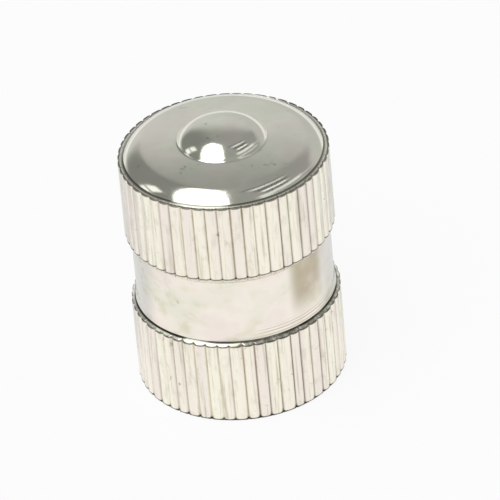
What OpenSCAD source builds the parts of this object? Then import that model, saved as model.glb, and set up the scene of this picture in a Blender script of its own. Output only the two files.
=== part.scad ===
// Screw-on cap for a tyre valve stem: a turned brass shell with two ribbed grip bands, a smooth
// waist, a crowned top with a raised nub, and a blind threaded bore with a rubber washer at its end.
// The origin is on the axis in the plane of the mouth, and +Z points to the crown.

/* [Grip bands] */
// Diameter of both bands over the tops of the ribs
band_d = 10; // [9.8:0.1:12]
// Height of the band next to the mouth, up to the foot of the waist
lower_band_h = 4.5; // [3:0.05:6]
// Height of the band next to the crown
upper_band_h = 4.25; // [3:0.05:6]
// Distance from rib to rib round the band
rib_pitch = 0.6; // [0.5:0.05:1.2]
// Depth of the grooves between the ribs
rib_depth = 0.13; // [0.06:0.01:0.16]
// How full the ribs are: 2 is a round top, and a higher power is flatter with narrower grooves
rib_fullness = 3; // [2:0.25:5]
// Bevel on the ends of the ribs at the mouth and at the rim
rib_bevel = 0.08; // [0.04:0.02:0.16]

/* [Waist] */
// Diameter of the smooth waist between the bands
waist_d = 9.44; // [9:0.02:9.5]
// Height of the waist from band to band
waist_h = 3.35; // [2:0.05:6]
// Fall of each band's shoulder from the waist to the outside of the band
shoulder_fall = 0.25; // [0.05:0.05:0.5]
// Radius in the corner where the waist meets a shoulder
waist_fillet = 0.1; // [0.04:0.02:0.12]

/* [Crown] */
// Diameter of the dome where it meets the rim ledge
dome_d = 9.5; // [9:0.05:9.5]
// Slope of the dome at the ledge, in degrees
dome_edge_slope = 57; // [40:1:70]
// Radius of the dome's rounded shoulder
dome_shoulder_r = 1.3; // [0.8:0.1:2]
// Radius of the dome's shallow crown
dome_crown_r = 31; // [20:1:60]
// Diameter of the nub at its foot
nub_d = 4.26; // [3:0.02:5]
// Slope of the nub's side at its foot, in degrees
nub_edge_slope = 52; // [35:1:70]
// Radius of the nub's rounded shoulder
nub_shoulder_r = 1.7; // [0.8:0.1:1.9]
// Radius of the nub's top
nub_crown_r = 4.6; // [3:0.1:8]

/* [Bore] */
// Outside diameter of the stem's thread
thread_d = 7.75; // [7.5:0.05:7.8]
// Pitch of the thread
thread_pitch = 0.794; // [0.7:0.002:0.9]
// Diameter of the lead-in cone at the mouth
mouth_d = 8.1; // [8:0.05:8.8]
// Thickness of metal from the washer's seat to the plane of the rim
top_wall = 1.85; // [1.5:0.05:3]
// Point angle of the drill that leaves the end of the bore
drill_point = 118; // [90:1:140]

/* [Washer] */
// Outside diameter of the washer
washer_d = 7.8; // [7.4:0.05:8]
// Thickness of the washer
washer_t = 1.2; // [0.8:0.1:2]
// Diameter of the washer's hole, which clears the valve's pin
washer_hole_d = 3.2; // [2.6:0.1:4.5]
// Clearance round the washer in its groove
washer_play = 0.05; // [0.02:0.01:0.15]
// Extra height of the groove under the washer
groove_spare = 0.1; // [0.05:0.05:0.4]

/* [Hidden] */
$fn = 96;

// How far one solid reaches into the next, and a cutter past a face
bite = 0.4;
// Straight steps that stand for an arc of the crown, and for the small corner at the waist
crown_steps = 8;
fillet_steps = 3;
// Places across one rib, from groove to groove, where its outline has a point
rib_places = [0, 0.12, 0.3, 0.5, 0.7, 0.88];
// Inside diameter of a 60-degree thread: the outside diameter less this many pitches
thread_flat = 1.0825;

band_r = band_d / 2;
waist_r = waist_d / 2;
rib_count = round(PI * band_d / rib_pitch);
upper_band_z = lower_band_h + waist_h;
rim_z = upper_band_z + upper_band_h;

bore_r = (thread_d - thread_flat * thread_pitch) / 2;
lead_in_h = mouth_d / 2 - bore_r;
seat_z = rim_z - top_wall;
groove_r = washer_d / 2 + washer_play;
groove_z = seat_z - washer_t - groove_spare;
drill_tip_z = seat_z + bore_r / tan(drill_point / 2);

// Points of an arc in the r-z plane, where an angle is the slope of the surface there
function arc_points(centre, r, from_a, to_a, steps) = [
    for (i = [0 : steps])
        let (a = from_a + (to_a - from_a) * i / steps)
        centre + r * [sin(a), cos(a)]
];

// A crowned end is a shoulder arc that starts at the edge and runs tangent into a shallow top arc
function shoulder_centre(edge_r, slope, shoulder_r, z) =
    [edge_r - shoulder_r * sin(slope), z - shoulder_r * cos(slope)];
function blend_angle(centre, shoulder_r, crown_r) = asin(centre.x / (crown_r - shoulder_r));
function crown_centre(centre, shoulder_r, crown_r) =
    [0, centre.y - (crown_r - shoulder_r) * cos(blend_angle(centre, shoulder_r, crown_r))];
function crown_points(edge_r, slope, shoulder_r, crown_r, z, inner_r) =
    let (
        low = shoulder_centre(edge_r, slope, shoulder_r, z),
        high = crown_centre(low, shoulder_r, crown_r),
        blend = blend_angle(low, shoulder_r, crown_r),
        top_arc = arc_points(high, crown_r, blend, asin(inner_r / crown_r), crown_steps)
    )
    concat(
        arc_points(low, shoulder_r, slope, blend, crown_steps),
        [for (i = [1 : crown_steps]) top_arc[i]]
    );

dome_points = crown_points(dome_d / 2, dome_edge_slope, dome_shoulder_r, dome_crown_r, rim_z, nub_d / 2);
nub_foot = dome_points[len(dome_points) - 1];
nub_points = crown_points(nub_foot.x, nub_edge_slope, nub_shoulder_r, nub_crown_r, nub_foot.y, 0);

// Radius of the ribbed outline at a place across a rib: 0 and 1 are grooves, 0.5 is the top
function rib_radius(place) = band_r - rib_depth * pow(abs(2 * place - 1), rib_fullness);

module ribbed_outline() {
    polygon([
        for (i = [0 : rib_count - 1], place = rib_places)
            let (a = 360 * (i + place) / rib_count - 90)
            rib_radius(place) * [cos(a), sin(a)]
    ]);
}

// One ribbed band: its free end lies at z = 0, and its shoulder falls away from the waist at z = h
module grip_band(h) {
    shoulder_foot_r = waist_r + waist_fillet;
    fillet_centre = [shoulder_foot_r, h + waist_fillet];
    intersection() {
        translate([0, 0, -bite])
            linear_extrude(h + waist_fillet + 2 * bite)
                ribbed_outline();
        rotate_extrude()
            polygon(concat(
                [[0, 0], [band_r - rib_bevel, 0], [band_r, rib_bevel], [band_r, h - shoulder_fall]],
                arc_points(fillet_centre, waist_fillet, 180, 270, fillet_steps),
                [[0, h + waist_fillet]]
            ));
    }
}

module crown() {
    rotate_extrude()
        polygon(concat(
            [[0, rim_z - bite], [dome_d / 2, rim_z - bite]],
            dome_points,
            [for (i = [1 : len(nub_points) - 1]) nub_points[i]]
        ));
}

module threaded_bore() {
    rotate_extrude()
        polygon([
            [0, -bite],
            [mouth_d / 2 + bite, -bite],
            [bore_r, lead_in_h],
            [bore_r, groove_z],
            [groove_r, groove_z],
            [groove_r, seat_z],
            [bore_r, seat_z],
            [0, drill_tip_z]
        ]);
}

module cap_shell() {
    color("gainsboro")
        difference() {
            union() {
                cylinder(h = rim_z - bite, r = waist_r);
                grip_band(lower_band_h);
                translate([0, 0, rim_z])
                    mirror([0, 0, 1])
                        grip_band(upper_band_h);
                crown();
            }
            threaded_bore();
        }
}

module sealing_washer() {
    color("dimgray")
        translate([0, 0, seat_z - washer_t])
            difference() {
                cylinder(h = washer_t, d = washer_d);
                translate([0, 0, -bite])
                    cylinder(h = washer_t + 2 * bite, d = washer_hole_d);
            }
}

cap_shell();
sealing_washer();
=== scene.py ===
# %% [markdown]
# # A tyre valve cap
# This lesson dresses a small screw-on metal cap, about 10 mm across and 13 mm tall. The real one is
# turned from brass bar, its two grip bands are rolled with straight ribs, a thread is cut inside, and
# the whole is plated with bright nickel. A rubber washer lies at the end of the bore.
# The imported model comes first: it fixes where each piece lies and how large it is.

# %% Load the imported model
import math

import bmesh
import bpy
from mathutils import Matrix, Vector


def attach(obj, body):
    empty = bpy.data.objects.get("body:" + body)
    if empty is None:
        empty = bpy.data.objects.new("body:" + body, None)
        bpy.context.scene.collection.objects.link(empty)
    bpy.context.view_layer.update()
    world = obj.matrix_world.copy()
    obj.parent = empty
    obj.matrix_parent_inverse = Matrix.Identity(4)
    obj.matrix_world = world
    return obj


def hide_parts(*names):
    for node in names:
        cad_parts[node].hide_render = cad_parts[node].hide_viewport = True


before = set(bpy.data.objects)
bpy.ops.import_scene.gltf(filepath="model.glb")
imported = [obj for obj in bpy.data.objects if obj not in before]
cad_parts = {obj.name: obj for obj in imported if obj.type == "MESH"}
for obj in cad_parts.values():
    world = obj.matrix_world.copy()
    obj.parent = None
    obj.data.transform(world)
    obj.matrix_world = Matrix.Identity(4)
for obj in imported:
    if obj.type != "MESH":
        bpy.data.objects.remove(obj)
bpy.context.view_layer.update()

# %% [markdown]
# ## Camera
# The photograph looks down at the cap from about 34 degrees, from far away, so its lines hardly
# converge. A long lens at about 0.3 m gives that. The camera leans a little, because the cap leans
# to the left in the picture. The aim is a point beside the cap, which puts it where the photograph
# has it without any lens shift.

# %% The camera
MM = 0.001
VIEW_RISE = math.radians(34.0)
VIEW_ROLL = math.radians(-5.4)
VIEW_DISTANCE = 293.5 * MM
FOCAL_LENGTH = 445.0
AIM_HEIGHT = 6.05 * MM
AIM_RIGHT = 0.80 * MM
AIM_UP = 0.30 * MM


def make_camera():
    """A camera in front of the object that leans by the roll and aims beside the axis."""
    target = Vector((0, 0, AIM_HEIGHT))
    back = Vector((0, -math.cos(VIEW_RISE), math.sin(VIEW_RISE)))
    right = Vector((1, 0, 0))
    up = back.cross(right)
    leaning_right = right * math.cos(VIEW_ROLL) + up * math.sin(VIEW_ROLL)
    leaning_up = up * math.cos(VIEW_ROLL) - right * math.sin(VIEW_ROLL)
    place = target + back * VIEW_DISTANCE
    aim = target + leaning_right * AIM_RIGHT + leaning_up * AIM_UP
    out = (place - aim).normalized()
    side = leaning_up.cross(out).normalized()
    camera = bpy.data.objects.new("camera", bpy.data.cameras.new("camera"))
    bpy.context.scene.collection.objects.link(camera)
    camera.data.lens = FOCAL_LENGTH
    camera.data.clip_start = 0.01
    camera.data.clip_end = 5.0
    turned = Matrix((side, out.cross(side), out)).transposed().to_4x4()
    turned.translation = place
    camera.matrix_world = turned
    bpy.context.scene.camera = camera


make_camera()
print("camera at", round(VIEW_DISTANCE / MM), "mm, looking down", round(math.degrees(VIEW_RISE), 1))

# %% [markdown]
# ## Small helpers
# Colours are written as the sRGB values that a colour picker shows, and one function turns them into
# the linear light that a shader wants. Every node tree below is built with one helper, which adds a
# node with its settings, fills or links its inputs, and hands back one output. Dirt on the metal and
# lights in the room both lie where several things hold at once, so one more helper makes a mask: the
# product of soft steps.

# %% Helpers for colours and nodes


def colour(hex_value):
    """Linear RGBA of an sRGB colour such as 'E8E0D2'."""
    shares = [int(hex_value[i:i + 2], 16) / 255 for i in (0, 2, 4)]
    linear = [s / 12.92 if s <= 0.04045 else ((s + 0.055) / 1.055) ** 2.4 for s in shares]
    return (*linear, 1.0)


def add_node(tree, kind, inputs=(), output=0, **settings):
    """Adds a node, sets it up, links or fills its inputs, and returns one of its outputs."""
    made = tree.nodes.new(kind)
    for name, value in settings.items():
        setattr(made, name, value)
    for name, value in dict(inputs).items():
        socket = made.inputs[name]
        if isinstance(value, bpy.types.NodeSocket):
            tree.links.new(value, socket)
        else:
            socket.default_value = value
    return made.outputs[output] if made.outputs else made


def new_material(name):
    """A material with an empty node tree."""
    material = bpy.data.materials.new(name)
    material.use_nodes = True
    material.node_tree.nodes.clear()
    return material


def mask_of(tree, steps, strength=1.0):
    """A mask from 0 to its strength, from steps that each give a value, its start and its end."""
    mask = strength
    for value, start, end in steps:
        step = add_node(tree, "ShaderNodeMapRange",
                        {"Value": value, "From Min": start, "From Max": end},
                        interpolation_type="SMOOTHSTEP")
        mask = add_node(tree, "ShaderNodeMath", {0: step, 1: mask}, operation="MULTIPLY")
    return mask


# %% [markdown]
# ## The outline of the shell
# A turned part is one outline swept round its axis. The outline runs from the top of the nub over
# the dome, down the outside, round the mouth, up through the thread and into the drill's cone. Real
# edges are never sharp: the lathe leaves a small break and the plating rounds it further, so each
# corner carries the reach of its rounding. Light catches those rounded edges as fine bright lines.

# %% Sizes of the shell, in millimetres
BAND_R = 5.0
WAIST_R = 4.72
LOWER_BAND_TOP = 4.5
UPPER_BAND_FOOT = 7.85
RIM_Z = 12.1
SHOULDER_FALL = 0.25
WAIST_FILLET = 0.1
RIB_BEVEL = 0.08
RIB_DEPTH = 0.13
RIB_FULLNESS = 3.0
RIB_COUNT = 52
# each rib and groove is worn a little by itself, and a groove drifts by a share of a rib
RIB_WEAR = 0.012
GROOVE_WEAR = 0.035
GROOVE_DRIFT = 0.1

DOME_R = 4.72
DOME_EDGE_SLOPE = 50
DOME_SHOULDER_R = 1.45
DOME_CROWN_R = 28.0
NUB_R = 2.13
NUB_EDGE_SLOPE = 58
NUB_SHOULDER_R = 1.35
NUB_CROWN_R = 5.4

THREAD_D = 7.75
THREAD_PITCH = 0.794
THREAD_DEPTH = 0.43
# the inside diameter of a 60-degree thread is its outside diameter less this many pitches
THREAD_FLAT = 1.0825
BORE_R = (THREAD_D - THREAD_FLAT * THREAD_PITCH) / 2
MOUTH_R = 4.05
LEAD_IN_H = MOUTH_R - BORE_R
TOP_WALL = 1.85
SEAT_Z = RIM_Z - TOP_WALL
WASHER_R = 3.9
WASHER_T = 1.2
WASHER_HOLE_R = 1.6
WASHER_PLAY = 0.05
GROOVE_SPARE = 0.1
GROOVE_R = WASHER_R + WASHER_PLAY
GROOVE_Z = SEAT_Z - WASHER_T - GROOVE_SPARE
HALF_DRILL_POINT = 59
DRILL_TIP_Z = SEAT_Z + BORE_R / math.tan(math.radians(HALF_DRILL_POINT))
print("thread's inside radius", round(BORE_R, 3), "mm, washer seat at", round(SEAT_Z, 2), "mm")

# %% [markdown]
# The outline is a list of points (radius, height, rounding). Arcs give their own points, and a
# rounded corner is replaced by a short curve that leaves one side and joins the other smoothly.

# %% Outline tools
# a rounding takes at most this share of the way to the next point
ROUNDING_SHARE = 0.45


def slope_arc(centre, radius, from_slope, to_slope, steps):
    """Points of an arc, where an angle is the slope of the surface there, in degrees."""
    points = []
    for i in range(steps + 1):
        a = math.radians(from_slope + (to_slope - from_slope) * i / steps)
        points.append((centre[0] + radius * math.sin(a), centre[1] + radius * math.cos(a), 0))
    return points


def crown(edge_r, edge_z, slope, shoulder_r, crown_r, inner_r, steps):
    """A shallow arc from inner_r that runs tangent into a shoulder arc down to the edge."""
    low = (
        edge_r - shoulder_r * math.sin(math.radians(slope)),
        edge_z - shoulder_r * math.cos(math.radians(slope)),
    )
    blend = math.degrees(math.asin(low[0] / (crown_r - shoulder_r)))
    high = (0, low[1] - (crown_r - shoulder_r) * math.cos(math.radians(blend)))
    start = math.degrees(math.asin(inner_r / crown_r))
    top = slope_arc(high, crown_r, start, blend, steps)
    return top[:-1] + slope_arc(low, shoulder_r, blend, slope, steps)


def straight(start, end, steps):
    """Points between two corners, without the corners themselves."""
    return [
        (start[0] + (end[0] - start[0]) * i / steps, start[1] + (end[1] - start[1]) * i / steps, 0)
        for i in range(1, steps)
    ]


def soften(points, steps=4):
    """Replaces each corner that has a rounding by a short smooth curve."""
    made = []
    for i, (r, z, reach) in enumerate(points):
        if not reach:
            made.append((r, z))
            continue
        here = Vector((r, z))
        before = Vector(points[i - 1][:2]) - here
        after = Vector(points[i + 1][:2]) - here
        first = here + before.normalized() * min(reach, before.length * ROUNDING_SHARE)
        last = here + after.normalized() * min(reach, after.length * ROUNDING_SHARE)
        for k in range(steps + 1):
            t = k / steps
            p = first * (1 - t) ** 2 + here * 2 * t * (1 - t) + last * t ** 2
            made.append((p.x, p.y))
    return made


# %% [markdown]
# The outside starts with the nub and the dome. The dome ends on a narrow ledge that falls outwards,
# where the knurling wheel has raised a small burr at the upper ends of the ribs. Each band has a
# sloping shoulder at the waist. The waist flares a little above the lower band, and the turning tool
# has left a thin nick in that corner.

# %% The outside, from the nub to the mouth
dome = crown(DOME_R, RIM_Z, DOME_EDGE_SLOPE, DOME_SHOULDER_R, DOME_CROWN_R, NUB_R, 12)
NUB_Z = dome[0][1]
nub = crown(NUB_R, NUB_Z, NUB_EDGE_SLOPE, NUB_SHOULDER_R, NUB_CROWN_R, 0, 10)
EDGE = 0.035
FINE_EDGE = 0.02
BESIDE_EDGE = 0.05
NUB_FOOT_ROUND = 0.07
DOME_FOOT_ROUND = 0.03
WAIST_TOP_ROUND = 0.08
FLARE_ROUND = 0.1
NICK_ROUND = 0.01
FOOT_R = WAIST_R + WAIST_FILLET
FLARE_Z = LOWER_BAND_TOP + 0.22
CORNER_R = WAIST_R + 0.08
CORNER_Z = LOWER_BAND_TOP - 0.08
NICK = 0.03
LEDGE_R = 4.86
LEDGE_Z = RIM_Z - 0.06
BURR_R = 4.93
BURR_EDGE_R = 4.98
BURR_Z = RIM_Z - 0.03
RIM_EDGE_Z = RIM_Z - RIB_BEVEL
UPPER_SHOULDER_Z = UPPER_BAND_FOOT + SHOULDER_FALL
LOWER_SHOULDER_Z = LOWER_BAND_TOP - SHOULDER_FALL


def wall(top, foot):
    """Points down the wall of a band, with one close to each end."""
    start = (BAND_R, top - BESIDE_EDGE, 0)
    end = (BAND_R, foot + BESIDE_EDGE, 0)
    return [start] + straight(start, end, 4) + [end]


outside = nub[:-1] + [(NUB_R, NUB_Z, NUB_FOOT_ROUND)] + dome[1:-1] + [
    (DOME_R, RIM_Z, DOME_FOOT_ROUND),
    (LEDGE_R, LEDGE_Z, FINE_EDGE),
    (BURR_R, BURR_Z, FINE_EDGE),
    (BURR_EDGE_R, BURR_Z, FINE_EDGE),
    (BAND_R, RIM_EDGE_Z, FINE_EDGE),
]
outside += wall(RIM_EDGE_Z, UPPER_SHOULDER_Z)
outside += [(BAND_R, UPPER_SHOULDER_Z, EDGE)]
outside += straight((BAND_R, UPPER_SHOULDER_Z), (FOOT_R, UPPER_BAND_FOOT), 4)
outside += [
    (FOOT_R, UPPER_BAND_FOOT, FINE_EDGE),
    (WAIST_R, UPPER_BAND_FOOT - WAIST_FILLET, WAIST_TOP_ROUND),
]
outside += straight((WAIST_R, UPPER_BAND_FOOT), (WAIST_R, FLARE_Z), 4)
outside += [
    (WAIST_R, FLARE_Z, FLARE_ROUND),
    (CORNER_R - NICK_ROUND, CORNER_Z + 2 * NICK, 0),
    (CORNER_R, CORNER_Z + NICK, NICK_ROUND),
    (CORNER_R - NICK, CORNER_Z, NICK_ROUND),
    (CORNER_R + NICK, CORNER_Z - NICK, NICK_ROUND),
]
outside += straight((CORNER_R + NICK, CORNER_Z - NICK), (BAND_R, LOWER_SHOULDER_Z), 5)
outside += [(BAND_R, LOWER_SHOULDER_Z, EDGE)]
outside += wall(LOWER_SHOULDER_Z, RIB_BEVEL)
outside += [(BAND_R, RIB_BEVEL, EDGE), (BAND_R - RIB_BEVEL, 0, FINE_EDGE)]
print(len(outside), "points outside, nub's foot at", round(NUB_Z, 2), "mm, top at", round(nub[0][1], 2))

# %% [markdown]
# The inside starts with the lead-in cone at the mouth, which guides the cap onto the stem. The
# thread fades in there and ends before the washer's groove, and the drill that opened the bore has
# left its cone beyond the washer's seat.

# %% The inside, from the mouth to the drill's cone
ROWS_PER_TURN = 6
BORE_EDGE = 0.03
THREAD_TOP = GROOVE_Z - 0.3
thread_rows = round((GROOVE_Z - LEAD_IN_H) / THREAD_PITCH * ROWS_PER_TURN)
inside = [(MOUTH_R, 0, EDGE)]
inside += straight((MOUTH_R, 0), (BORE_R, LEAD_IN_H), 4)
inside += [(BORE_R, LEAD_IN_H, 0)]
inside += straight((BORE_R, LEAD_IN_H), (BORE_R, GROOVE_Z), thread_rows)
inside += [
    (BORE_R, GROOVE_Z, BORE_EDGE),
    (GROOVE_R, GROOVE_Z, BORE_EDGE),
    (GROOVE_R, SEAT_Z, BORE_EDGE),
    (BORE_R, SEAT_Z, BORE_EDGE),
]
inside += straight((BORE_R, SEAT_Z), (0, DRILL_TIP_Z), 2) + [(0, DRILL_TIP_Z, 0)]
print(len(inside), "points inside")

# %% [markdown]
# ## Sweeping the outline with Geometry Nodes
# The shell follows one rule, so a node tree makes it: a grid gets one row for each point of the
# outline and a few columns for each rib. Each grid point looks up its outline point, turns round the
# axis, and is pulled in where a groove runs. The ribs are what the knurling wheel leaves: round tops
# with narrow grooves. The thread is a second rule on the inside rows: the wall moves out and in with
# height and angle together, which makes a helix. At the end, the seam and the two poles are merged.

# %% The tree that turns an outline into a shell
MARKS = ("thread", "band", "waist", "corner", "burr", "inside")
# how strongly the columns of a rib are drawn together towards its grooves
COLUMN_GATHER = 0.6
# where the thread's flat crest ends and its root starts, from 0 in mid-crest to 1 in mid-root
CREST_END = 0.15
ROOT_START = 0.85
WELD = 1e-7


def turning_tree(name):
    """Geometry Nodes: outline in, ribbed and threaded shell out."""
    tree = bpy.data.node_groups.new(name, "GeometryNodeTree")
    face = tree.interface
    face.new_socket("Outline", in_out="INPUT", socket_type="NodeSocketGeometry")
    for label, kind in (
        ("Ribs", "NodeSocketInt"), ("Columns per rib", "NodeSocketInt"), ("Rows", "NodeSocketInt"),
        ("Band radius", "NodeSocketFloat"), ("Rib depth", "NodeSocketFloat"),
        ("Rib fullness", "NodeSocketFloat"), ("Rib wear", "NodeSocketFloat"),
        ("Thread pitch", "NodeSocketFloat"), ("Thread depth", "NodeSocketFloat"),
        ("Groove drift", "NodeSocketFloat"), ("Groove wear", "NodeSocketFloat"),
        ("Seed", "NodeSocketInt"), ("Finish", "NodeSocketMaterial"),
    ):
        face.new_socket(label, in_out="INPUT", socket_type=kind)
    face.new_socket("Shell", in_out="OUTPUT", socket_type="NodeSocketGeometry")
    given = tree.nodes.new("NodeGroupInput").outputs

    # a grid of rows and columns, and where each of its points belongs
    columns = add_node(tree, "ShaderNodeMath", {0: given["Ribs"], 1: given["Columns per rib"]},
                       operation="MULTIPLY")
    columns_closed = add_node(tree, "ShaderNodeMath", {0: columns, 1: 1.0}, operation="ADD")
    grid = add_node(tree, "GeometryNodeMeshGrid",
                    {"Vertices X": columns_closed, "Vertices Y": given["Rows"]})
    index = add_node(tree, "GeometryNodeInputIndex")
    index_middle = add_node(tree, "ShaderNodeMath", {0: index, 1: 0.5}, operation="ADD")
    share = add_node(tree, "ShaderNodeMath", {0: index_middle, 1: given["Rows"]}, operation="DIVIDE")
    column = add_node(tree, "ShaderNodeMath", {0: share}, operation="FLOOR")
    passed = add_node(tree, "ShaderNodeMath", {0: column, 1: given["Rows"]}, operation="MULTIPLY")
    row = add_node(tree, "ShaderNodeMath", {0: index, 1: passed}, operation="SUBTRACT")

    # the outline's own point and its marks
    position = add_node(tree, "GeometryNodeInputPosition")
    point = add_node(tree, "GeometryNodeSampleIndex",
                     {"Geometry": given["Outline"], "Value": position, "Index": row},
                     data_type="FLOAT_VECTOR", domain="POINT")
    split = tree.nodes.new("ShaderNodeSeparateXYZ")
    tree.links.new(point, split.inputs[0])
    marks = {}
    for mark in MARKS:
        stored = add_node(tree, "GeometryNodeInputNamedAttribute", {"Name": mark}, data_type="FLOAT")
        marks[mark] = add_node(tree, "GeometryNodeSampleIndex",
                               {"Geometry": given["Outline"], "Value": stored, "Index": row},
                               data_type="FLOAT", domain="POINT")

    # place across the rib, with the columns drawn together towards the grooves
    along = add_node(tree, "ShaderNodeMath", {0: column, 1: given["Columns per rib"]},
                     operation="DIVIDE")
    rib = add_node(tree, "ShaderNodeMath", {0: along}, operation="FLOOR")
    even = add_node(tree, "ShaderNodeMath", {0: along}, operation="FRACT")
    turn = add_node(tree, "ShaderNodeMath", {0: even, 1: 2 * math.pi}, operation="MULTIPLY")
    wave = add_node(tree, "ShaderNodeMath", {0: turn}, operation="SINE")
    pull = add_node(tree, "ShaderNodeMath", {0: wave, 1: -COLUMN_GATHER / (2 * math.pi)},
                    operation="MULTIPLY")
    place = add_node(tree, "ShaderNodeMath", {0: even, 1: pull}, operation="ADD")
    turned = add_node(tree, "ShaderNodeMath", {0: rib, 1: place}, operation="ADD")

    # each groove has its own number, and with it its own small drift and depth
    next_rib = add_node(tree, "ShaderNodeMath", {0: rib, 1: 1.0}, operation="ADD")
    groove_ids = [add_node(tree, "ShaderNodeMath", {0: end, 1: given["Ribs"]}, operation="MODULO")
                  for end in (rib, next_rib)]
    drifts = [add_node(tree, "FunctionNodeRandomValue",
                       {"Min": -1.0, "Max": 1.0, "ID": number, "Seed": given["Seed"]},
                       output=1, data_type="FLOAT") for number in groove_ids]
    drift = add_node(tree, "ShaderNodeMix", {"Factor": place, "A": drifts[0], "B": drifts[1]})
    turned = add_node(tree, "ShaderNodeMath",
                      {0: drift, 1: given["Groove drift"], 2: turned}, operation="MULTIPLY_ADD")
    whole = add_node(tree, "ShaderNodeMath", {0: turned, 1: given["Ribs"]}, operation="DIVIDE")
    angle = add_node(tree, "ShaderNodeMath", {0: whole, 1: 2 * math.pi, 2: -math.pi / 2},
                     operation="MULTIPLY_ADD")

    # depth of the groove at that place; each rib is cut a little differently
    off_centre = add_node(tree, "ShaderNodeMath", {0: place, 1: 2.0, 2: -1.0},
                          operation="MULTIPLY_ADD")
    distance = add_node(tree, "ShaderNodeMath", {0: off_centre}, operation="ABSOLUTE")
    groove = add_node(tree, "ShaderNodeMath", {0: distance, 1: given["Rib fullness"]},
                      operation="POWER")
    rib_id = add_node(tree, "ShaderNodeMath", {0: rib, 1: given["Ribs"]}, operation="MODULO")
    worn = add_node(tree, "FunctionNodeRandomValue",
                    {"Min": 0.0, "Max": given["Rib wear"], "ID": rib_id, "Seed": given["Seed"]},
                    output=1, data_type="FLOAT")
    top = add_node(tree, "ShaderNodeMath", {0: given["Band radius"], 1: worn}, operation="SUBTRACT")
    next_seed = add_node(tree, "ShaderNodeMath", {0: given["Seed"], 1: 1.0}, operation="ADD")
    shallows = [add_node(tree, "FunctionNodeRandomValue",
                         {"Min": 0.0, "Max": given["Groove wear"], "ID": number, "Seed": next_seed},
                         output=1, data_type="FLOAT") for number in groove_ids]
    second_half = add_node(tree, "ShaderNodeMath", {0: place, 1: 0.5}, operation="GREATER_THAN")
    shallow = add_node(tree, "ShaderNodeMix",
                       {"Factor": second_half, "A": shallows[0], "B": shallows[1]})
    depth = add_node(tree, "ShaderNodeMath", {0: given["Rib depth"], 1: shallow},
                     operation="SUBTRACT")
    cut = add_node(tree, "ShaderNodeMath", {0: groove, 1: depth}, operation="MULTIPLY")
    ribbed = add_node(tree, "ShaderNodeMath", {0: top, 1: cut}, operation="SUBTRACT")
    kept = add_node(tree, "ShaderNodeMath", {0: split.outputs[0], 1: ribbed}, operation="MINIMUM")

    # the helix: height over pitch less the turn, as a wave from crest to root and back
    height = add_node(tree, "ShaderNodeMath", {0: split.outputs[2], 1: given["Thread pitch"]},
                      operation="DIVIDE")
    helix = add_node(tree, "ShaderNodeMath", {0: height, 1: whole}, operation="SUBTRACT")
    phase = add_node(tree, "ShaderNodeMath", {0: helix}, operation="FRACT")
    middle = add_node(tree, "ShaderNodeMath", {0: phase, 1: 2.0, 2: -1.0}, operation="MULTIPLY_ADD")
    flank = add_node(tree, "ShaderNodeMath", {0: middle}, operation="ABSOLUTE")
    form = add_node(tree, "ShaderNodeMapRange",
                    {"Value": flank, "From Min": CREST_END, "From Max": ROOT_START},
                    interpolation_type="SMOOTHSTEP")
    thread = add_node(tree, "ShaderNodeMath", {0: form, 1: marks["thread"]}, operation="MULTIPLY")
    opened = add_node(tree, "ShaderNodeMath",
                      {0: thread, 1: given["Thread depth"], 2: kept}, operation="MULTIPLY_ADD")

    # back to X, Y and Z
    cosine = add_node(tree, "ShaderNodeMath", {0: angle}, operation="COSINE")
    sine = add_node(tree, "ShaderNodeMath", {0: angle}, operation="SINE")
    x = add_node(tree, "ShaderNodeMath", {0: opened, 1: cosine}, operation="MULTIPLY")
    y = add_node(tree, "ShaderNodeMath", {0: opened, 1: sine}, operation="MULTIPLY")
    round_place = add_node(tree, "ShaderNodeCombineXYZ", {0: x, 1: y, 2: split.outputs[2]})
    made = add_node(tree, "GeometryNodeSetPosition", {"Geometry": grid, "Position": round_place})

    # marks that the finish reads later
    banded = add_node(tree, "ShaderNodeMath", {0: groove, 1: marks["band"]}, operation="MULTIPLY")
    for mark, value in (("groove", banded), *((m, marks[m]) for m in MARKS if m != "thread")):
        made = add_node(tree, "GeometryNodeStoreNamedAttribute",
                        {"Geometry": made, "Name": mark, "Value": value},
                        data_type="FLOAT", domain="POINT")
    merged = add_node(tree, "GeometryNodeMergeByDistance", {"Geometry": made, "Distance": WELD})
    real = add_node(tree, "GeometryNodeRealizeInstances", {"Geometry": merged})
    finished = add_node(tree, "GeometryNodeSetMaterial",
                        {"Geometry": real, "Material": given["Finish"]})
    end = tree.nodes.new("NodeGroupOutput")
    tree.links.new(finished, end.inputs["Shell"])
    return tree


TURNING = turning_tree("turned_and_knurled")
print(len(TURNING.nodes), "nodes in the turning tree")

# %% [markdown]
# The tree is run on an outline, and its result is kept as a plain mesh. The outline object itself
# is then thrown away, so that no live modifier is left on the piece.

# %% Running the tree


def outline_object(name, points, marks):
    """A chain of points in the X-Z plane, with one stored value a point for each mark."""
    mesh = bpy.data.meshes.new(name)
    mesh.from_pydata([(r * MM, 0, z * MM) for r, z in points],
                     [(i, i + 1) for i in range(len(points) - 1)], [])
    for mark, values in marks.items():
        mesh.attributes.new(mark, "FLOAT", "POINT").data.foreach_set("value", values)
    made = bpy.data.objects.new(name, mesh)
    bpy.context.scene.collection.objects.link(made)
    return made


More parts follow.
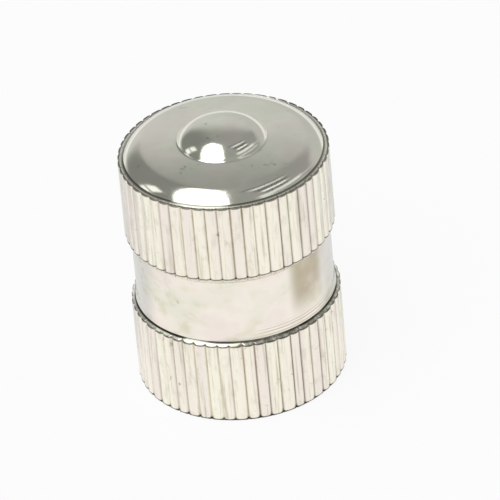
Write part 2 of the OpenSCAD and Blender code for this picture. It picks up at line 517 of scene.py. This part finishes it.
def turn_piece(name, points, marks, material, **inputs):
    """Sweeps an outline into a closed plain mesh."""
    source = outline_object(name + "_outline", points, marks)
    modifier = source.modifiers.new("turning", "NODES")
    modifier.node_group = TURNING
    sockets = {s.name: s.identifier for s in TURNING.interface.items_tree if s.in_out == "INPUT"}
    for label, value in {**inputs, "Rows": len(points), "Finish": material}.items():
        modifier[sockets[label]] = value
    graph = bpy.context.evaluated_depsgraph_get()
    mesh = bpy.data.meshes.new_from_object(
        source.evaluated_get(graph), preserve_all_data_layers=True, depsgraph=graph)
    mesh.name = name
    bpy.data.objects.remove(source)
    piece = bpy.data.objects.new(name, mesh)
    bpy.context.scene.collection.objects.link(piece)
    return piece


def close_up(piece, sharp_angle):
    """Turns all faces outwards, marks sharp edges and reports whether the mesh is closed."""
    work = bmesh.new()
    work.from_mesh(piece.data)
    bmesh.ops.recalc_face_normals(work, faces=work.faces)
    open_edges = sum(1 for e in work.edges if len(e.link_faces) != 2)
    volume = work.calc_volume(signed=True)
    triangles = sum(len(f.verts) - 2 for f in work.faces)
    work.to_mesh(piece.data)
    work.free()
    piece.data.shade_smooth()
    piece.data.set_sharp_from_angle(angle=math.radians(sharp_angle))
    print(piece.name, triangles, "triangles,", open_edges, "open edges,",
          round(volume * 1e9, 1), "cubic mm")


# %% [markdown]
# ## Bright nickel plate
# The shell is brass with a thin coat of bright nickel: a warm, slightly cream metal that mirrors its
# surroundings softly. The plate is laid on the rolled metal, so on the bands its tone runs in fine
# upright streaks, some creamy and some rosy. The grooves are darker, and shade is painted along the
# ends of the ribs, on the burr, at the foot of the dome, in the nick at the waist and on the side away
# from the light. A brown band runs down one side of the waist. Inside, the plate is thin, and the brass
# shows through as a yellower tone. All of it follows the piece's own coordinates and marks.

# %% The nickel finish
NICKEL_CREAM = colour("FEF9E9")
NICKEL_ROSE = colour("F8EFE5")
NICKEL_GREY = colour("EFEBDE")
GREEN_TINGE = colour("E2E3D0")
PINK_TINGE = colour("EBDDD8")
SMUDGE = colour("D6CAA8")
STREAK_TONE = colour("C9C0AC")
# darkens the grooves
GROOVE_TONE = colour("7A705E")
# painted shade: dark lines at the rib ends, on the burr and at the dome's foot, in the corner's nick,
# and in the grooves on the side away from the light
PAINTED_SHADE = colour("57524A")
# painted shade in the nick at the waist's corner
CORNER_SHADE = colour("2E2B26")
# a brown band down one side of the waist
BROWN_BAND = colour("A39572")
# painted shadow just under the waist's corner, on the side away from the light
SHADOW_UNDER_CORNER = colour("6E664E")
SPECK = colour("8A7A58")
BRASS_TONE = colour("C9B98C")
# the way the side away from the light faces; painted shade and the brown band lie towards it
SHADED_SIDE_WAY = (0.715, -0.699, 0)

# the size of each pattern in mm, how it is stretched along X, Y and Z, and its detail; the plating's
# own grain is ten times finer than 0.11 mm and is drawn that coarse to show
PATTERNS = {
    "streaks": (0.15, (1, 1, 0.05), 3.0),
    "sectors": (1.1, (1, 1, 0.05), 1.0),
    "pits": (0.28, (1, 1, 0.4), 3.0),
    "clouds": (2.4, (1, 1, 1), 4.0),
    "tinges": (1.7, (1, 1, 1), 2.0),
    "smudges": (0.9, (1, 1, 1.6), 3.0),
    "specks": (0.38, (1, 1, 1), 3.0),
    "grain": (0.11, (1, 1, 1), 2.0),
}

# what is painted on the plate, from below, tones and painted shade alike: its tone, its strength, and
# the steps that say where
LAYERS = (
    (NICKEL_GREY, 1.0, (("clouds", 0.4, 0.65),)),
    (GREEN_TINGE, 0.35, (("tinges", 0.46, 0.66),)),
    (PINK_TINGE, 0.4, (("tinges", 0.54, 0.34),)),
    (SMUDGE, 0.45, (("waist", 0, 1), ("smudges", 0.46, 0.72), ("clouds", 0.3, 0.6))),
    (NICKEL_CREAM, 1.0, (("band", 0, 1),)),
    (NICKEL_ROSE, 1.0, (("band", 0, 1), ("sectors", 0.4, 0.6))),
    (STREAK_TONE, 0.85, (("band", 0, 1), ("streaks", 0.5, 0.8))),
    (STREAK_TONE, 0.3, (("band", 0, 1), ("pits", 0.5, 0.72))),
    # the grooves, darker, and more so in some sectors
    (GROOVE_TONE, 0.12, (("groove", 0.35, 1),)),
    (GROOVE_TONE, 0.45, (("groove", 0.35, 1), ("sectors", 0.35, 0.65))),
    # painted shade: the grooves on the side away from the light
    (PAINTED_SHADE, 0.45, (("groove", 0.5, 1), ("facing", 0.75, 0.95))),
    (STREAK_TONE, 0.9, (("waist", 0, 1), ("facing", 0.75, 0.9), ("low", 0.65, 0.3),
                        ("rings", 0, 1))),
    # painted shadow under the waist's corner on the side away from the light, patchy
    (SHADOW_UNDER_CORNER, 0.65, (("low", 0.02, -0.02), ("low", -0.2, -0.14), ("inside", 1, 0),
                  ("facing", 0.4, 0.8), ("pits", 0.35, 0.6))),
    # painted shade: the nick at the waist's corner
    (CORNER_SHADE, 0.9, (("corner", 0, 1), ("tinges", 0.6, 0.4))),
    (PAINTED_SHADE, 0.5, (("corner", 0, 1),)),
    # painted shade: dark lines along the rib ends, the burr and the dome's foot
    (PAINTED_SHADE, 0.8, (("burr", 0, 1),)),
    # a brown band down the upper waist on one side, stronger upwards
    (BROWN_BAND, 0.7, (("waist", 0, 1), ("facing", 0.963, 0.995), ("low", 0.2, 1.9),
                  ("clouds", 0.15, 0.5))),
    (SPECK, 0.7, (("clouds", 0.5, 0.7), ("specks", 0.62, 0.74))),
    (BRASS_TONE, 0.6, (("inside", 0, 1),)),
)
RING_SPACING = 0.15
POLISHED_ROUGHNESS = (0.08, 0.14)
BAND_ROUGHNESS = 0.14
PLATE_BUMP = 0.06
PLATE_BUMP_DEPTH = 0.02 * MM


def nickel_material():
    """Bright nickel: metallic, cream, streaked on the bands, darker in the grooves, with painted shade
    at edges.
    """
    material = new_material("bright_nickel_plate")
    tree = material.node_tree
    place = add_node(tree, "ShaderNodeTexCoord", output=3)
    read = {mark: add_node(tree, "ShaderNodeAttribute", output=2, attribute_name=mark)
            for mark in ("groove", "band", "waist", "corner", "burr", "inside")}
    for name, (size, stretch, detail) in PATTERNS.items():
        stretched = add_node(tree, "ShaderNodeVectorMath", {0: place, 1: stretch},
                             operation="MULTIPLY")
        read[name] = add_node(tree, "ShaderNodeTexNoise",
                              {"Vector": stretched, "Scale": 1 / (size * MM), "Detail": detail})

    # where a point lies: towards the side away from the light, its height over the corner in mm, and
    # the turning rings
    flat = add_node(tree, "ShaderNodeVectorMath", {0: place, 1: (1, 1, 0)}, operation="MULTIPLY")
    outward = add_node(tree, "ShaderNodeVectorMath", {0: flat}, operation="NORMALIZE")
    read["facing"] = add_node(tree, "ShaderNodeVectorMath", {0: outward, 1: SHADED_SIDE_WAY}, output=1,
                              operation="DOT_PRODUCT")
    height = add_node(tree, "ShaderNodeVectorMath", {0: place, 1: (0, 0, 1 / MM)}, output=1,
                      operation="DOT_PRODUCT")
    read["low"] = add_node(tree, "ShaderNodeMath", {0: height, 1: CORNER_Z}, operation="SUBTRACT")
    turns = add_node(tree, "ShaderNodeMath", {0: height, 1: 2 * math.pi / RING_SPACING},
                     operation="MULTIPLY")
    read["rings"] = add_node(tree, "ShaderNodeMath", {0: turns}, operation="SINE")

    plate = NICKEL_ROSE
    for tone, strength, steps in LAYERS:
        mask = mask_of(tree, [(read[what], start, end) for what, start, end in steps], strength)
        plate = add_node(tree, "ShaderNodeMix", {"Factor": mask, 6: plate, 7: tone}, output=2,
                         data_type="RGBA")

    # the rolled bands are rougher than the turned and polished parts
    rough = add_node(tree, "ShaderNodeMapRange",
                     {"Value": read["clouds"], "From Min": 0.3, "From Max": 0.7,
                      "To Min": POLISHED_ROUGHNESS[0], "To Max": POLISHED_ROUGHNESS[1]})
    rough = add_node(tree, "ShaderNodeMath", {0: read["band"], 1: BAND_ROUGHNESS, 2: rough},
                     operation="MULTIPLY_ADD")
    bump = add_node(tree, "ShaderNodeBump",
                    {"Strength": PLATE_BUMP, "Distance": PLATE_BUMP_DEPTH,
                     "Height": read["grain"]})
    shader = add_node(tree, "ShaderNodeBsdfPrincipled",
                      {"Base Color": plate, "Metallic": 1.0, "Roughness": rough, "Normal": bump})
    add_node(tree, "ShaderNodeOutputMaterial", {"Surface": shader})
    return material


NICKEL_PLATE = nickel_material()
print(len(LAYERS), "layers of tone on the plate")

# %% [markdown]
# ## Making the shell
# Eight columns for each of the 52 ribs are enough for smooth ribs, because the tree draws them
# together at the grooves. The whole piece stays below 200,000 triangles.

# %% The shell
outline = soften(outside + inside)
mouth = max(i for i, (r, z) in enumerate(outline) if z < 0.001)
BAND_ENDS = (RIM_EDGE_Z, UPPER_SHOULDER_Z, LOWER_SHOULDER_Z, RIB_BEVEL)
EDGE_SHADE_REACH = 0.04
THREAD_START = 0.15
THREAD_RUN_IN = 0.5
THREAD_RUN_OUT = 0.35
COLUMNS_PER_RIB = 8
WEAR_SEED = 7


def share_of_thread(z):
    """How deep the thread is cut at a height: it runs in at the mouth and out below the groove."""
    run_in = min(1, max(0, (z - THREAD_START) / THREAD_RUN_IN))
    run_out = min(1, max(0, (THREAD_TOP - z) / THREAD_RUN_OUT))
    return run_in * run_out


def gets_edge_shade(r, z):
    """Whether a place gets the painted edge shade: a band's end, the raised burr or the dome's foot."""
    at_band_end = r > BAND_R - EDGE_SHADE_REACH and min(abs(z - end) for end in BAND_ENDS) < EDGE_SHADE_REACH
    on_burr = r > BURR_R - FINE_EDGE and z > RIM_EDGE_Z
    at_dome_foot = abs(r - DOME_R) < DOME_FOOT_ROUND and abs(z - RIM_Z) < FINE_EDGE
    return at_band_end or on_burr or at_dome_foot


marks = {
    "thread": [share_of_thread(z) if i > mouth else 0.0 for i, (r, z) in enumerate(outline)],
    "band": [1.0 if r > FOOT_R + FINE_EDGE else 0.0 for r, z in outline],
    "waist": [
        1.0 if i < mouth and r < CORNER_R + NICK_ROUND
        and CORNER_Z + NICK < z < UPPER_BAND_FOOT else 0.0
        for i, (r, z) in enumerate(outline)
    ],
    "corner": [
        1.0 if i < mouth and abs(z - CORNER_Z) < NICK + NICK_ROUND else 0.0
        for i, (r, z) in enumerate(outline)
    ],
    "burr": [1.0 if gets_edge_shade(r, z) else 0.0 for r, z in outline],
    "inside": [1.0 if i > mouth else 0.0 for i in range(len(outline))],
}
shell = turn_piece(
    "cap_shell_finished", outline, marks, NICKEL_PLATE,
    **{
        "Ribs": RIB_COUNT, "Columns per rib": COLUMNS_PER_RIB, "Band radius": BAND_R * MM,
        "Rib depth": RIB_DEPTH * MM, "Rib fullness": RIB_FULLNESS, "Rib wear": RIB_WEAR * MM,
        "Groove drift": GROOVE_DRIFT, "Groove wear": GROOVE_WEAR * MM,
        "Thread pitch": THREAD_PITCH * MM, "Thread depth": THREAD_DEPTH * MM,
        "Seed": WEAR_SEED,
    })
close_up(shell, 40)
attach(shell, "root")
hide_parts("cap_shell")

# %% [markdown]
# ## The rubber washer
# The washer is punched from sheet rubber, so its faces are flat and its edges slightly round. It
# lies in the groove at the end of the thread, and only shows when the cap is turned over.

# %% The rubber finish
RUBBER = colour("1C1B1B")
RUBBER_DUSTY = colour("3A3836")
# spots of dust and the rubber's grain, as so many to the metre
DUST_SCALE = 1200.0
GRAIN_SCALE = 8000.0
GRAIN_DEPTH = 0.03 * MM


def rubber_material():
    """Black sheet rubber: matte, with a faint bloom of dust."""
    material = new_material("black_sheet_rubber")
    tree = material.node_tree
    place = add_node(tree, "ShaderNodeTexCoord", output=3)
    dust = add_node(tree, "ShaderNodeTexNoise", {"Vector": place, "Scale": DUST_SCALE, "Detail": 4.0})
    tone = add_node(tree, "ShaderNodeMix",
                    {"Factor": dust, "A": RUBBER, "B": RUBBER_DUSTY}, output=2, data_type="RGBA")
    grain = add_node(tree, "ShaderNodeTexNoise",
                     {"Vector": place, "Scale": GRAIN_SCALE, "Detail": 2.0})
    rough = add_node(tree, "ShaderNodeMapRange", {"Value": grain, "To Min": 0.6, "To Max": 0.85})
    bump = add_node(tree, "ShaderNodeBump",
                    {"Strength": 0.4, "Distance": GRAIN_DEPTH, "Height": grain})
    shader = add_node(tree, "ShaderNodeBsdfPrincipled",
                      {"Base Color": tone, "Roughness": rough, "Normal": bump, "IOR": 1.52})
    add_node(tree, "ShaderNodeOutputMaterial", {"Surface": shader})
    return material


RUBBER_SHEET = rubber_material()

# %% [markdown]
# The washer's outline is the section of a flat ring. It starts and ends half way up the outside, and
# the same tree turns it, with no depth of rib or thread.

# %% The washer
WASHER_Z = SEAT_Z - WASHER_T
WASHER_MIDDLE = (WASHER_R, (SEAT_Z + WASHER_Z) / 2, 0)
WASHER_ROUND = 0.09
washer_outline = soften([
    WASHER_MIDDLE,
    (WASHER_R, SEAT_Z, WASHER_ROUND),
    (WASHER_HOLE_R, SEAT_Z, WASHER_ROUND),
    (WASHER_HOLE_R, WASHER_Z, WASHER_ROUND),
    (WASHER_R, WASHER_Z, WASHER_ROUND),
    WASHER_MIDDLE,
])
washer = turn_piece(
    "sealing_washer_finished", washer_outline,
    {mark: [0.0] * len(washer_outline) for mark in MARKS}, RUBBER_SHEET,
    **{"Ribs": 12, "Columns per rib": 8, "Band radius": BAND_R * MM, "Rib fullness": 1.0,
       "Thread pitch": THREAD_PITCH * MM})
close_up(washer, 60)
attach(washer, "root")
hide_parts("sealing_washer")

# %% [markdown]
# ## Floor and background
# The cap stands on white paper. To the camera and in the metal the paper shows as plain white, and a
# share of its lit colour stays in, so that a faint shadow lies on it. In the metal only, a painted
# shadow rings the paper close to the foot of the cap, which the bevel at the mouth mirrors as a fine
# dark line, and a painted shadow tints the paper behind the cap bluish grey. Under the cap, where
# nobody can see it, the paper lets light through, so that a view from below shows the bore.

# %% The floor
FLOOR_SIZE = 0.8
PAPER = colour("F4F4F4")
GLOW_SHARE = 0.9
# painted contact shadow, seen only in reflections, between these distances from the axis; inside the
# first the paper is open
CONTACT_START = 4.9 * MM
CONTACT_END = 5.15 * MM
# painted shadow behind the cap, seen only in reflections
PAPER_SHADOW_BEHIND = colour("E4E7EA")
BEHIND_START = -1.0
BEHIND_END = 4.0


def floor_material():
    """White paper, white to the camera and in reflections, with a faint shadow; in reflections a
    painted shadow rings the cap's foot and lies behind it.
    """
    material = new_material("white_paper")
    tree = material.node_tree
    path = tree.nodes.new("ShaderNodeLightPath").outputs
    place = add_node(tree, "ShaderNodeTexCoord", output=3)
    from_axis = add_node(tree, "ShaderNodeVectorMath", {0: place}, output=1, operation="LENGTH")
    past_contact_shadow = add_node(tree, "ShaderNodeMapRange",
                          {"Value": from_axis, "From Min": CONTACT_START, "From Max": CONTACT_END},
                          interpolation_type="SMOOTHSTEP")
    bright = add_node(tree, "ShaderNodeMath", {0: past_contact_shadow, 1: path["Is Camera Ray"]},
                      operation="MAXIMUM")
    lit = add_node(tree, "ShaderNodeBsdfDiffuse", {"Color": PAPER})
    depth = add_node(tree, "ShaderNodeVectorMath", {0: place, 1: (0, 1 / MM, 0)}, output=1,
                     operation="DOT_PRODUCT")
    behind = add_node(tree, "ShaderNodeMapRange",
                      {"Value": depth, "From Min": BEHIND_START, "From Max": BEHIND_END},
                      interpolation_type="SMOOTHSTEP")
    shaded = add_node(tree, "ShaderNodeMath", {0: behind, 1: path["Is Glossy Ray"]},
                      operation="MULTIPLY")
    tone = add_node(tree, "ShaderNodeMix", {"Factor": shaded, 6: (1, 1, 1, 1), 7: PAPER_SHADOW_BEHIND},
                    output=2, data_type="RGBA")
    glow = add_node(tree, "ShaderNodeEmission", {"Color": tone, "Strength": bright})
    seen = add_node(tree, "ShaderNodeMath",
                    {0: path["Is Camera Ray"], 1: path["Is Glossy Ray"]}, operation="MAXIMUM")
    share = add_node(tree, "ShaderNodeMath", {0: seen, 1: GLOW_SHARE}, operation="MULTIPLY")
    front = add_node(tree, "ShaderNodeMixShader", {0: share, 1: lit, 2: glow})
    clear = add_node(tree, "ShaderNodeBsdfTransparent")
    below = add_node(tree, "ShaderNodeNewGeometry", output=6)
    under_cap = add_node(tree, "ShaderNodeMath", {0: from_axis, 1: CONTACT_START},
                         operation="LESS_THAN")
    open_way = add_node(tree, "ShaderNodeMath", {0: below, 1: under_cap}, operation="MAXIMUM")
    whole = add_node(tree, "ShaderNodeMixShader", {0: open_way, 1: front, 2: clear})
    add_node(tree, "ShaderNodeOutputMaterial", {"Surface": whole})
    return material


def make_floor():
    """One level square of paper, which is stage and not part of the cap."""
    half = FLOOR_SIZE / 2
    mesh = bpy.data.meshes.new("floor")
    mesh.from_pydata([(-half, -half, 0), (half, -half, 0), (half, half, 0), (-half, half, 0)],
                     [], [(0, 1, 2, 3)])
    mesh.materials.append(floor_material())
    floor = bpy.data.objects.new("floor", mesh)
    bpy.context.scene.collection.objects.link(floor)


make_floor()

# %% [markdown]
# ## Light
# A mirror shows what stands round it, so the light is planned by what the crown has to show. A large
# soft box hangs over the front left, and makes the white patch on the shoulder and on the nub. A
# small light with a bar across it stands at the left, and narrow strips at the right draw the fine
# lines there. The room is pale behind the cap and darker at the sides and overhead, which gives the
# dome its grey and each edge that faces the camera its dark line.

# %% The patches of light
ROOM_TINT = (0.94, 1.0, 0.975)
ROOM_DARK = 0.345
UP = (0, 0, 1)
BACK = (0, 1, 0)
FRONT = (0, -1, 0)
BAR_EDGE = 0.02
BAR_END = 0.06
ACROSS_BARS = Vector((0.774, -0.633, 0))
ALONG_BARS = Vector((0.633, 0.774, 0))
TO_SIDE_LIGHT = (-0.974, 0.231, 0)
ACROSS_SIDE_LIGHT = (0.231, 0.974, 0)
SIDE_LIGHT = (
    (TO_SIDE_LIGHT, 0.5, 0.6),
    (ACROSS_SIDE_LIGHT, -0.14, -0.08),
    (ACROSS_SIDE_LIGHT, 0.14, 0.08),
)


def ceiling_bar(level, low, high, near, far):
    """A patch shaped as a straight bar overhead, with its places on a ceiling one metre up."""
    up = Vector(UP)
    sides = (ACROSS_BARS - up * low, up * high - ACROSS_BARS)
    ends = (ALONG_BARS - up * near, up * far - ALONG_BARS)
    across = tuple((way, -BAR_EDGE, BAR_EDGE) for way in sides)
    along = tuple((way, -BAR_END, BAR_END) for way in ends)
    return level, across + along


# each patch is a level and its edges: a way to look along, and where the patch starts and is whole
PATCHES = (
    # the walls close to the horizon, a round pale glow on the back wall, wider to the right, and a
    # white strip at the foot of the back wall
    (0.54, ((UP, 0.46, 0.12),)),
    (0.66, (((0.08, 0.996, 0.035), 0.67, 0.93),)),
    (0.56, (((0.6, 0.8, 0), 0.72, 0.9), (UP, 0.62, 0.5))),
    (1.0, ((BACK, 0.3, 0.7), (UP, 0.13, 0.03))),
    # the dark left, and the front wall
    (0.25, (((-0.985, -0.174, 0), -0.04, 0.14), ((-0.513, -0.558, 0.651), -0.16, 0.12),
            (UP, 0.1, 0.22))),
    (0.38, ((FRONT, 0.45, 0.7), (UP, 0.37, 0.53), (UP, 0.83, 0.67))),
    # the bars at the right: their dark frame, two thin ones, a wide one that fades away along its
    # length, and one more close to the horizon
    ceiling_bar(0.15, 0.06, 0.72, 0.1, 0.62),
    ceiling_bar(0.9, 0.14, 0.24, 0.12, 0.6),
    ceiling_bar(1.4, 0.44, 0.53, 0.12, 0.6),
    ceiling_bar(0.9, 0.74, 0.98, -0.1, 1.1),
    ceiling_bar(0.55, 0.8, 0.98, 1.1, 2.3),
    ceiling_bar(0.8, 1.22, 1.4, -0.3, 1.7),
    # the small light at the left, and the bar that crosses it
    (1.15, SIDE_LIGHT + ((UP, 0.27, 0.33), (UP, 0.75, 0.69))),
    (ROOM_DARK, SIDE_LIGHT + ((UP, 0.475, 0.505), (UP, 0.555, 0.525))),
    # the large soft box over the front left: right side, left side, back, two corners, foot
    (2.3, (((-0.998, -0.055, 0), -0.005, 0.035), ((0.665, -0.629, 0.403), -0.06, 0),
           (FRONT, -0.5, -0.42), ((-0.89, -0.449, 0.074), -0.06, 0.02),
           ((-0.731, 0.482, 0.482), -0.06, 0.04), (UP, 0.46, 0.52))),
)
print(len(PATCHES), "patches of light")

# %% [markdown]
# The patches are mixed over the room's own tone one after the other, by the way a ray goes. To the
# camera itself the world is plain white, so that they only show in the metal.

# %% The studio


def studio_world():
    """The room and its lights, all by direction; white to the camera."""
    world = bpy.data.worlds.new("studio")
    bpy.context.scene.world = world
    world.use_nodes = True
    tree = world.node_tree
    tree.nodes.clear()
    direction = add_node(tree, "ShaderNodeTexCoord", output=0)
    room = ROOM_DARK
    for level, edges in PATCHES:
        steps = []
        for way, start, end in edges:
            along = add_node(tree, "ShaderNodeVectorMath", {0: direction, 1: way}, output=1,
                             operation="DOT_PRODUCT")
            steps.append((along, start, end))
        room = add_node(tree, "ShaderNodeMix",
                        {"Factor": mask_of(tree, steps), "A": room, "B": level})
    around = add_node(tree, "ShaderNodeBackground", {"Color": (*ROOM_TINT, 1), "Strength": room})
    white = add_node(tree, "ShaderNodeBackground", {"Color": (1, 1, 1, 1), "Strength": 1.0})
    seen = add_node(tree, "ShaderNodeLightPath")
    shown = add_node(tree, "ShaderNodeMixShader", {0: seen, 1: around, 2: white})
    add_node(tree, "ShaderNodeOutputWorld", {"Surface": shown})
    print(len(tree.nodes), "nodes light the studio")


studio_world()
bpy.context.scene.view_settings.view_transform = "Standard"
